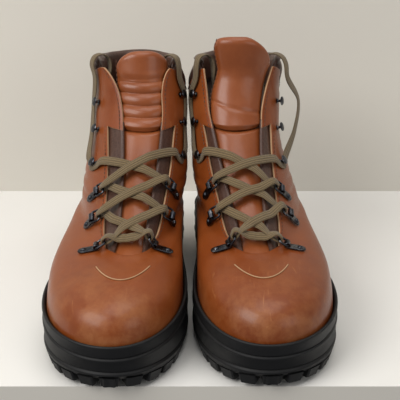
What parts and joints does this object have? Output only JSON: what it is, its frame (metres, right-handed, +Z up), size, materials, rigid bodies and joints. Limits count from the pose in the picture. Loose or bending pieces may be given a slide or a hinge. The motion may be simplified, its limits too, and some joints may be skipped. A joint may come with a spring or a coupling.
{
  "type": "pair of laced leather hiking boots",
  "caption": "Pair of mid-height leather hiking boots with D-ring and hook lacing, padded collar and tongue, rubber rand and lugged sole, worn in, laces left loose at the top.",
  "frame": {"origin": "on the ground under the middle of the pair", "axes": "+Z up, toes towards -Y, heels towards +Y, the wearer's right boot on the -X side"},
  "size_m": [0.228, 0.3058, 0.2178],
  "materials": {
    "tan_leather": "smooth waxed leather, scuffed",
    "dark_leather": "soft grained dark leather",
    "sole_rubber": "matte moulded rubber",
    "gunmetal": "dark plated metal, slightly worn",
    "lace_cord": "flat woven cord",
    "stiffener_board": "pressed fibre board",
    "footbed_foam": "fabric-covered foam",
    "shank_steel": "plain spring steel"
  },
  "bodies": {
    "right_boot": {"right_outsole": "sole_rubber", "right_midsole": "sole_rubber", "right_rand": "sole_rubber", "right_shank": "shank_steel", "right_insole_board": "stiffener_board", "right_footbed": "footbed_foam", "right_outer_clip_1": "gunmetal", "right_outer_clip_2": "gunmetal", "right_outer_clip_3": "gunmetal", "right_outer_hooks": "gunmetal", "right_inner_clip_1": "gunmetal", "right_inner_clip_2": "gunmetal", "right_inner_clip_3": "gunmetal", "right_inner_hooks": "gunmetal", "right_upper": "tan_leather", "right_toe_puff": "stiffener_board", "right_heel_counter": "stiffener_board", "right_collar_pad": "dark_leather", "right_facing_strips": "dark_leather", "right_tongue": "tan_leather", "right_lace": "lace_cord", "right_outer_lace_end": "lace_cord", "right_inner_lace_end": "lace_cord"},
    "right_outer_ring_1": {"right_outer_ring_1": "gunmetal"},
    "right_outer_ring_2": {"right_outer_ring_2": "gunmetal"},
    "right_outer_ring_3": {"right_outer_ring_3": "gunmetal"},
    "right_inner_ring_1": {"right_inner_ring_1": "gunmetal"},
    "right_inner_ring_2": {"right_inner_ring_2": "gunmetal"},
    "right_inner_ring_3": {"right_inner_ring_3": "gunmetal"},
    "right_tongue_top": {"right_tongue_top": "tan_leather"},
    "left_boot": {"left_outsole": "sole_rubber", "left_midsole": "sole_rubber", "left_rand": "sole_rubber", "left_shank": "shank_steel", "left_insole_board": "stiffener_board", "left_footbed": "footbed_foam", "left_outer_clip_1": "gunmetal", "left_outer_clip_2": "gunmetal", "left_outer_clip_3": "gunmetal", "left_outer_hooks": "gunmetal", "left_inner_clip_1": "gunmetal", "left_inner_clip_2": "gunmetal", "left_inner_clip_3": "gunmetal", "left_inner_hooks": "gunmetal", "left_upper": "tan_leather", "left_toe_puff": "stiffener_board", "left_heel_counter": "stiffener_board", "left_collar_pad": "dark_leather", "left_facing_strips": "dark_leather", "left_tongue": "tan_leather", "left_lace": "lace_cord", "left_outer_lace_end": "lace_cord", "left_inner_lace_end": "lace_cord"},
    "left_outer_ring_1": {"left_outer_ring_1": "gunmetal"},
    "left_outer_ring_2": {"left_outer_ring_2": "gunmetal"},
    "left_outer_ring_3": {"left_outer_ring_3": "gunmetal"},
    "left_inner_ring_1": {"left_inner_ring_1": "gunmetal"},
    "left_inner_ring_2": {"left_inner_ring_2": "gunmetal"},
    "left_inner_ring_3": {"left_inner_ring_3": "gunmetal"},
    "left_tongue_top": {"left_tongue_top": "tan_leather"}
  },
  "joints": [
    {"name": "right_outer_ring_1_hinge", "type": "hinge", "parent": "right_boot", "child": "right_outer_ring_1", "pos_m": [-0.07226, -0.06549, 0.0761], "axis": [-0.0747, 0.9927, 0.0946], "range_deg": [-2, 2]},
    {"name": "right_outer_ring_2_hinge", "type": "hinge", "parent": "right_boot", "child": "right_outer_ring_2", "pos_m": [-0.07902, -0.0356, 0.08719], "axis": [-0.0459, 0.8249, 0.5634], "range_deg": [-2, 2]},
    {"name": "right_outer_ring_3_hinge", "type": "hinge", "parent": "right_boot", "child": "right_outer_ring_3", "pos_m": [-0.07712, -0.01562, 0.10234], "axis": [-0.0747, 0.8043, 0.5895], "range_deg": [-2, 2]},
    {"name": "right_inner_ring_1_hinge", "type": "hinge", "parent": "right_boot", "child": "right_inner_ring_1", "pos_m": [-0.02673, -0.06558, 0.07718], "axis": [-0.1283, -0.9868, -0.0988], "range_deg": [-2, 2]},
    {"name": "right_inner_ring_2_hinge", "type": "hinge", "parent": "right_boot", "child": "right_inner_ring_2", "pos_m": [-0.0144, -0.03394, 0.08797], "axis": [-0.1815, -0.7595, -0.6247], "range_deg": [-2, 0]},
    {"name": "right_inner_ring_3_hinge", "type": "hinge", "parent": "right_boot", "child": "right_inner_ring_3", "pos_m": [-0.01384, -0.01438, 0.10531], "axis": [-0.1786, -0.8328, -0.5239], "range_deg": [-2, 2]},
    {"name": "right_tongue_top_fold", "type": "hinge", "parent": "right_boot", "child": "right_tongue_top", "pos_m": [-0.04301, 0.02036, 0.1445], "axis": [-0.9982, 0.0593, 0], "range_deg": [0, 9]},
    {"name": "left_outer_ring_1_hinge", "type": "hinge", "parent": "left_boot", "child": "left_outer_ring_1", "pos_m": [0.0756, -0.06151, 0.07614], "axis": [0.0464, 0.9946, 0.0929], "range_deg": [-2, 2]},
    {"name": "left_outer_ring_2_hinge", "type": "hinge", "parent": "left_boot", "child": "left_outer_ring_2", "pos_m": [0.08146, -0.02708, 0.08774], "axis": [0.0433, 0.8958, 0.4423], "range_deg": [-2, 2]},
    {"name": "left_outer_ring_3_hinge", "type": "hinge", "parent": "left_boot", "child": "left_outer_ring_3", "pos_m": [0.07538, -0.01153, 0.10266], "axis": [0.0527, 0.8597, 0.508], "range_deg": [-2, 2]},
    {"name": "left_inner_ring_1_hinge", "type": "hinge", "parent": "left_boot", "child": "left_inner_ring_1", "pos_m": [0.0301, -0.06325, 0.07704], "axis": [0.1572, -0.9824, -0.101], "range_deg": [-2, 2]},
    {"name": "left_inner_ring_2_hinge", "type": "hinge", "parent": "left_boot", "child": "left_inner_ring_2", "pos_m": [0.01656, -0.0321, 0.08806], "axis": [0.2088, -0.7507, -0.6267], "range_deg": [-1, 2]},
    {"name": "left_inner_ring_3_hinge", "type": "hinge", "parent": "left_boot", "child": "left_inner_ring_3", "pos_m": [0.01515, -0.01254, 0.10532], "axis": [0.2254, -0.8211, -0.5243], "range_deg": [-2, 2]},
    {"name": "left_tongue_top_fold", "type": "hinge", "parent": "left_boot", "child": "left_tongue_top", "pos_m": [0.04008, 0.02292, 0.1445], "axis": [-0.9956, -0.0941, 0], "range_deg": [0, 9]},
    {"name": "boots_apart", "type": "slide", "parent": "right_boot", "child": "left_boot", "axis": [1, 0, 0], "range_m": [0, 0.1]}
  ]
}
